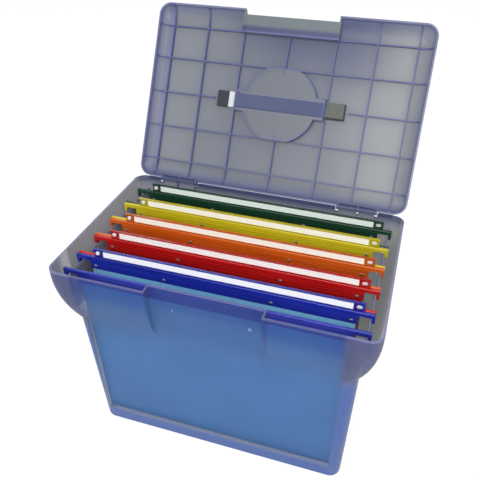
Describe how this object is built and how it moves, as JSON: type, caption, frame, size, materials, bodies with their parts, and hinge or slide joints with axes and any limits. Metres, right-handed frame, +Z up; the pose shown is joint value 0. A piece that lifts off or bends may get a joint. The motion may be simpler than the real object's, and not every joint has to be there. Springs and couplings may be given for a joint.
{
  "type": "portable file box",
  "caption": "Frosted plastic carrying box with a hinged lid and strap handle, holding coloured suspension files for A4 papers.",
  "frame": {"origin": "middle of the tub's flat base, on the surface it stands on", "axes": "+X to the right seen from the front, +Y towards the hinge, +Z up"},
  "size_m": [0.3674, 0.3546, 0.4761],
  "materials": {
    "frosted_blue": "frosted translucent polypropylene, tinted blue violet",
    "strap_blue": "flexible translucent plastic",
    "grip_steel": "plated folded sheet",
    "stud_steel": "satin",
    "label_card": "uncoated card",
    "pin_white": "moulded",
    "rail_blue": "extruded",
    "sheet_blue": "sheet",
    "holder_blue": "clear tinted strip",
    "rail_red": "extruded",
    "sheet_red": "sheet",
    "holder_red": "clear tinted strip",
    "rail_orange": "extruded",
    "sheet_orange": "sheet",
    "holder_orange": "clear tinted strip",
    "rail_yellow": "extruded",
    "sheet_yellow": "sheet",
    "holder_yellow": "clear tinted strip",
    "rail_green": "extruded",
    "sheet_green": "sheet",
    "holder_green": "clear tinted strip"
  },
  "bodies": {
    "box": {"tub": "frosted_blue"},
    "lid": {"lid": "frosted_blue"},
    "strap": {"carrying_strap": "strap_blue"},
    "grip_left": {"strap_grip_left": "grip_steel"},
    "grip_right": {"strap_grip_right": "grip_steel"},
    "file_blue": {"folder_sheet_blue": "sheet_blue", "front_rail_blue": "rail_blue", "label_rail_blue": "rail_blue", "press_studs_blue": "stud_steel", "label_holder_blue": "holder_blue", "label_card_blue": "label_card", "holder_pins_blue": "pin_white"},
    "file_red": {"folder_sheet_red": "sheet_red", "front_rail_red": "rail_red", "label_rail_red": "rail_red", "press_studs_red": "stud_steel", "label_holder_red": "holder_red", "label_card_red": "label_card", "holder_pins_red": "pin_white"},
    "file_orange": {"folder_sheet_orange": "sheet_orange", "front_rail_orange": "rail_orange", "label_rail_orange": "rail_orange", "press_studs_orange": "stud_steel", "label_holder_orange": "holder_orange", "label_card_orange": "label_card", "holder_pins_orange": "pin_white"},
    "file_yellow": {"folder_sheet_yellow": "sheet_yellow", "front_rail_yellow": "rail_yellow", "label_rail_yellow": "rail_yellow", "press_studs_yellow": "stud_steel", "label_holder_yellow": "holder_yellow", "label_card_yellow": "label_card", "holder_pins_yellow": "pin_white"},
    "file_green": {"folder_sheet_green": "sheet_green", "front_rail_green": "rail_green", "label_rail_green": "rail_green", "press_studs_green": "stud_steel", "label_holder_green": "holder_green", "label_card_green": "label_card", "holder_pins_green": "pin_white"}
  },
  "joints": [
    {"name": "lid_hinge", "type": "hinge", "parent": "box", "child": "lid", "pos_m": [0, 0.1186, 0.2684], "axis": [-1, 0, 0], "range_deg": [-118.2, 0]},
    {"name": "strap_lift", "type": "slide", "parent": "lid", "child": "strap", "axis": [0, 0.8813, -0.4726], "range_m": [0, 0.013], "stiffness_N_per_m": 150, "deforming": ["carrying_strap"]},
    {"name": "grip_left_slide", "type": "slide", "parent": "lid", "child": "grip_left", "axis": [1, 0, 0], "range_m": [0, 0.002]},
    {"name": "grip_right_slide", "type": "slide", "parent": "lid", "child": "grip_right", "axis": [-1, 0, 0], "range_m": [0, 0.002]},
    {"name": "file_blue_lift", "type": "slide", "parent": "box", "child": "file_blue", "axis": [0, 0, 1], "range_m": [0, 0.265]},
    {"name": "file_red_lift", "type": "slide", "parent": "box", "child": "file_red", "axis": [0, 0, 1], "range_m": [0, 0.265]},
    {"name": "file_orange_lift", "type": "slide", "parent": "box", "child": "file_orange", "axis": [0, 0, 1], "range_m": [0, 0.265]},
    {"name": "file_yellow_lift", "type": "slide", "parent": "box", "child": "file_yellow", "axis": [0, 0, 1], "range_m": [0, 0.265]},
    {"name": "file_green_lift", "type": "slide", "parent": "box", "child": "file_green", "axis": [0, 0, 1], "range_m": [0, 0.265]}
  ],
  "couplings": [
    {"joint": "grip_left_slide", "follows": "strap_lift", "ratio": 0.1538},
    {"joint": "grip_right_slide", "follows": "strap_lift", "ratio": 0.1538}
  ]
}
